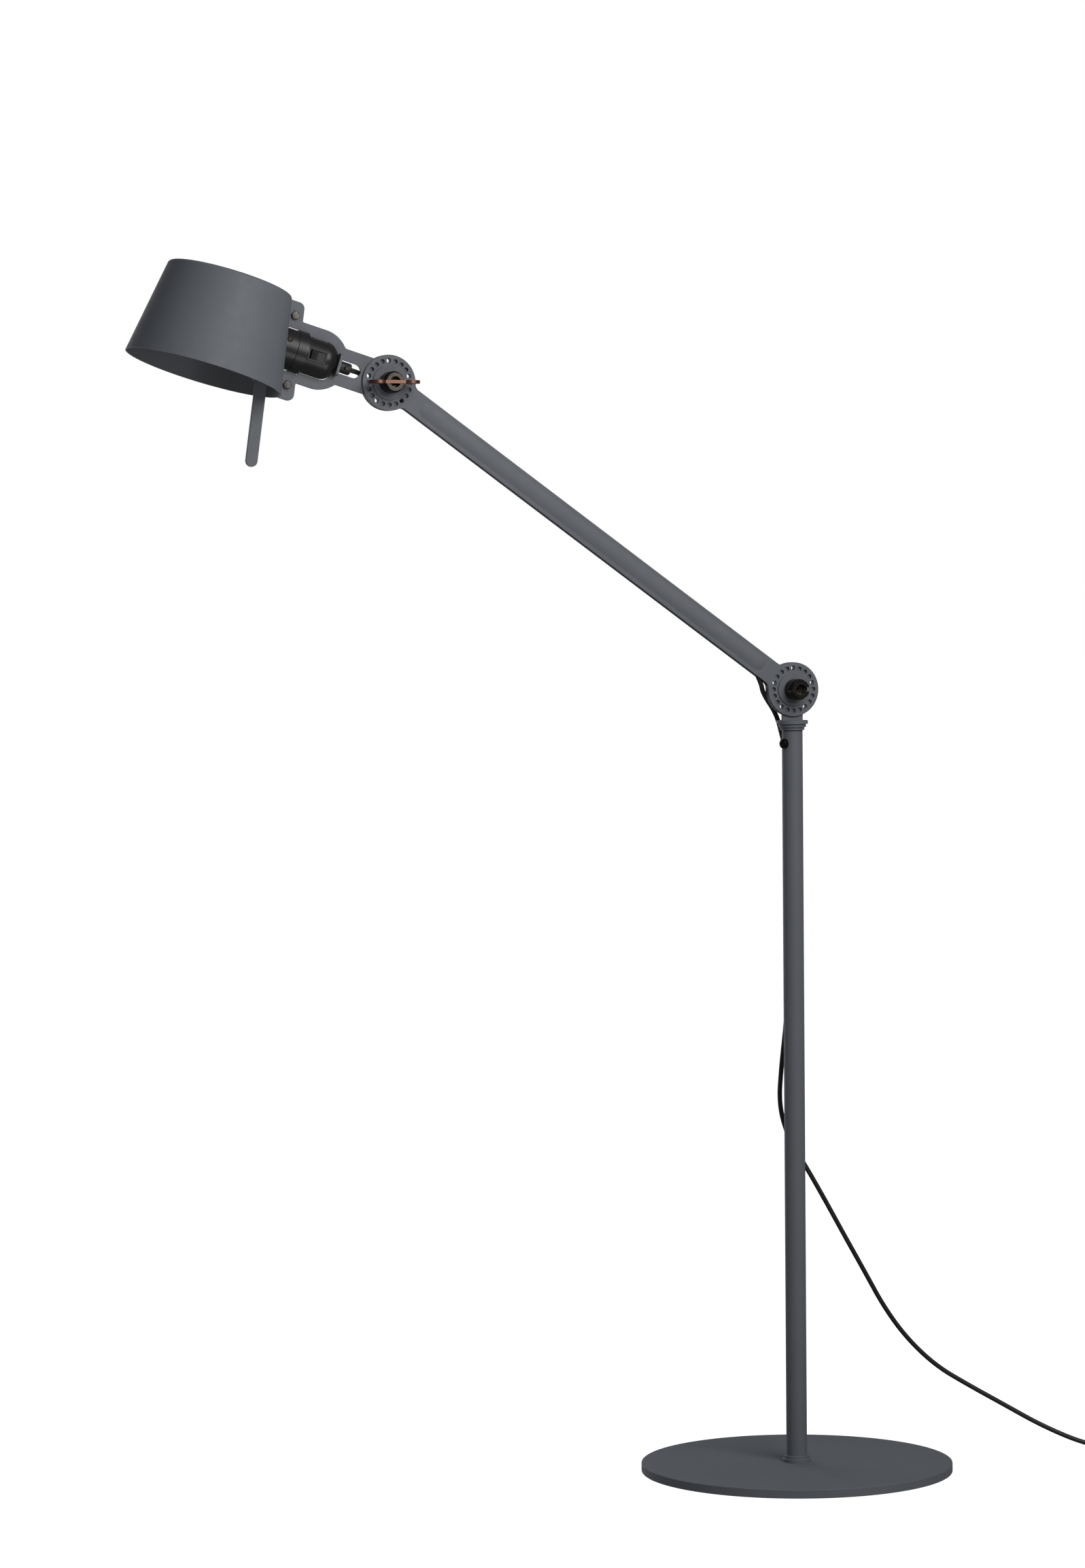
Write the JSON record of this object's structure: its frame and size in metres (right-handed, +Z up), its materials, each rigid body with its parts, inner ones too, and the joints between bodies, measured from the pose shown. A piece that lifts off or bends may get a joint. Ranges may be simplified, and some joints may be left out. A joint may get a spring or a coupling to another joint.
{
  "type": "architect floor lamp",
  "caption": "Floor-standing architect lamp: round weighted base, slim pole, swivelling and pivoting sandwich arm, tilting drum shade with handle, slotted clamp nuts, wing key and mains lead.",
  "frame": {"origin": "on the floor, at the centre of the base, under the pole", "axes": "+Z up along the pole; the arm reaches towards -X at rest; -Y is the front, where the clamp nuts and the switch face"},
  "size_m": [1.0992, 0.3, 1.1545],
  "materials": {
    "powder_grey": "fine-textured powder coat, slate grey",
    "black_steel": "blackened steel, worn bright on the edges",
    "copper_key": "satin copper, toned brown",
    "bright_steel": "zinc-plated steel",
    "bakelite": "moulded black phenolic, soft sheen",
    "switch_black": "moulded black nylon",
    "holder_insert": "steatite insert",
    "brass": "plain brass",
    "nickel": "nickel-plated",
    "bulb_white": "moulded white",
    "bulb_opal": "opal",
    "fibre": "pressed fibre",
    "bush_plastic": "black acetal",
    "felt": "pressed felt",
    "cord_black": "soft black sheath",
    "plug_black": "moulded black"
  },
  "bodies": {
    "stand": {"base_plate": "powder_grey", "base_pad": "felt", "base_washer": "bright_steel", "base_bolt": "bright_steel", "pole_foot_insert": "bright_steel", "foot_collar": "powder_grey", "pole": "powder_grey", "pole_bush": "bush_plastic", "swivel_lock_screw": "black_steel", "cord_clip": "bush_plastic", "cord_clip_screw": "bright_steel", "swivel_cord": "cord_black", "cord": "cord_black", "cord_coil": "cord_black", "cord_tail": "cord_black", "plug_sleeve": "plug_black", "plug_body": "plug_black", "plug_pins": "brass"},
    "swivel": {"swivel_collar": "powder_grey", "elbow_tab": "powder_grey", "elbow_cord": "cord_black"},
    "arm": {"arm_plate_front": "powder_grey", "arm_plate_rear": "powder_grey", "elbow_friction_washers": "fibre", "elbow_outer_washers": "powder_grey", "elbow_bolt": "black_steel", "head_friction_washers": "fibre", "head_outer_washers": "powder_grey", "head_bolt": "black_steel", "arm_cord": "cord_black"},
    "elbow_nut": {"elbow_clamp_nut": "black_steel"},
    "head_nut": {"head_clamp_nut": "black_steel", "wing_key": "copper_key"},
    "head": {"head_bracket": "powder_grey", "holder_tab": "powder_grey", "shade": "powder_grey", "shade_ears": "powder_grey", "ear_rivets": "black_steel", "shade_screws": "bright_steel", "shade_nuts": "bright_steel", "handle": "powder_grey", "handle_rivets": "black_steel", "holder_cap": "bakelite", "holder_skirt": "bakelite", "holder_core": "holder_insert", "holder_screw": "black_steel", "holder_thread_shell": "brass", "holder_contact": "brass", "holder_nipple": "bright_steel", "holder_locknut": "bright_steel", "strain_relief": "switch_black", "strain_relief_screw": "black_steel", "switch_frame": "switch_black", "bulb_tip": "brass", "bulb_cap": "nickel", "bulb_body": "bulb_white", "bulb_globe": "bulb_opal", "head_cord": "cord_black"},
    "rocker": {"switch_rocker": "switch_black"}
  },
  "joints": [
    {"name": "pole_swivel", "type": "hinge", "parent": "stand", "child": "swivel", "pos_m": [0, 0, 0.702], "axis": [0, 0, 1], "range_deg": [-150, 150], "deforming": ["swivel_cord"]},
    {"name": "arm_lift", "type": "hinge", "parent": "swivel", "child": "arm", "pos_m": [0, 0, 0.754], "axis": [0, 1, 0], "range_deg": [-75, 55], "deforming": ["elbow_cord"]},
    {"name": "head_tilt", "type": "hinge", "parent": "arm", "child": "head", "pos_m": [-0.40513, 0, 1.04361], "axis": [0, 1, 0], "range_deg": [-100, 110], "deforming": ["head_cord"]},
    {"name": "head_nut_turn", "type": "hinge", "parent": "arm", "child": "head_nut", "pos_m": [-0.40513, -0.014, 1.04361], "axis": [0, -1, 0], "range_deg": [0, 360]},
    {"name": "elbow_nut_turn", "type": "hinge", "parent": "arm", "child": "elbow_nut", "pos_m": [0, -0.014, 0.754], "axis": [0, -1, 0], "range_deg": [0, 360]},
    {"name": "switch_rock", "type": "hinge", "parent": "head", "child": "rocker", "pos_m": [-0.47879, -0.0142, 1.0667], "axis": [-0.299, 0, -0.9542], "range_deg": [0, 16]}
  ]
}
